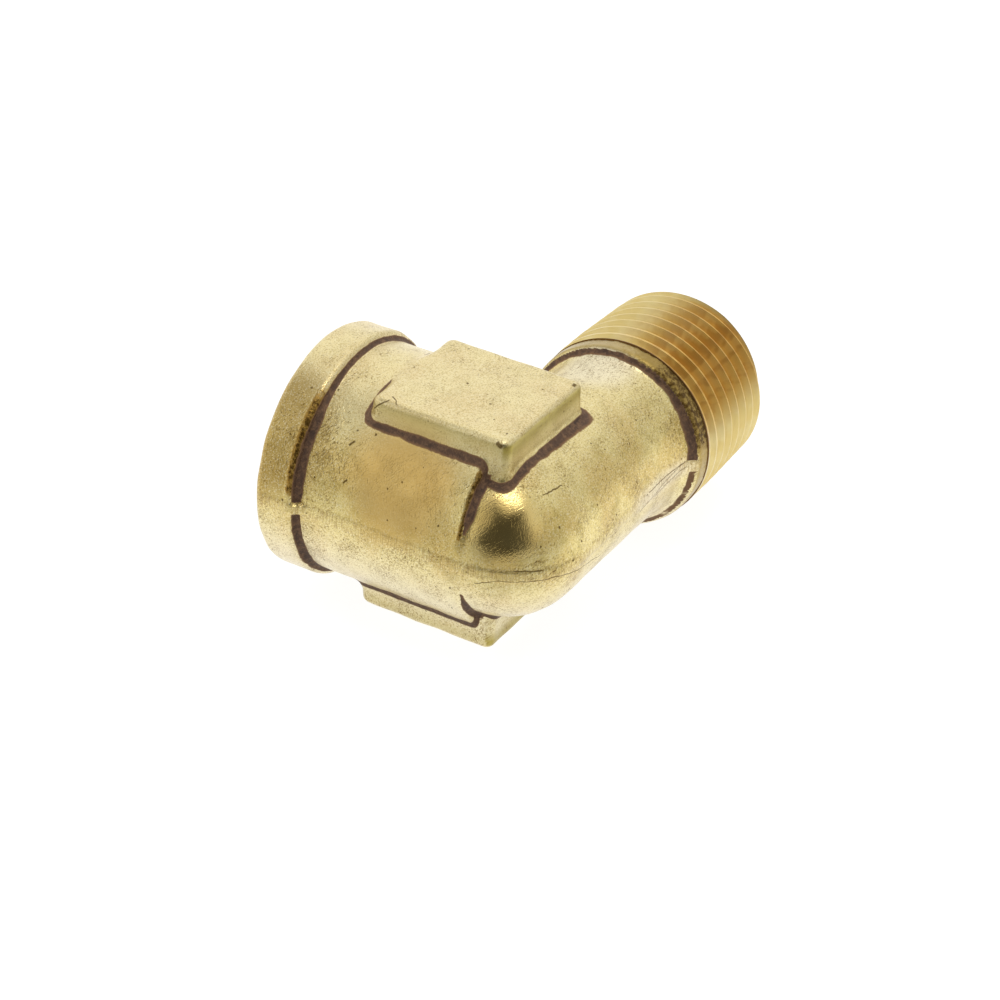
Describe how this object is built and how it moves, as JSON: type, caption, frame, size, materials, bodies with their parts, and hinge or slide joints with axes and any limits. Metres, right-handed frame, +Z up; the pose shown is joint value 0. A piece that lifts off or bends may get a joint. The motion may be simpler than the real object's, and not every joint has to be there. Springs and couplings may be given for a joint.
{
  "type": "street elbow",
  "caption": "Brass street elbow: a threaded socket and a taper-threaded male leg at a right angle, with flat wrench pads on the forged body.",
  "frame": {"origin": "crossing of the axes of the two ends, inside the bend", "axes": "+X out of the male leg, +Y out of the socket's mouth, +Z up, square to both axes and to the wrench pads"},
  "size_m": [0.0482, 0.035, 0.0268],
  "materials": {
    "forged_brass": "hot-forged brass, tumbled to a satin sheen with fine dark pits, darker scale left in the hollow corners, bright turned thread"
  },
  "bodies": {
    "root": {"elbow_body": "forged_brass"}
  },
  "joints": []
}
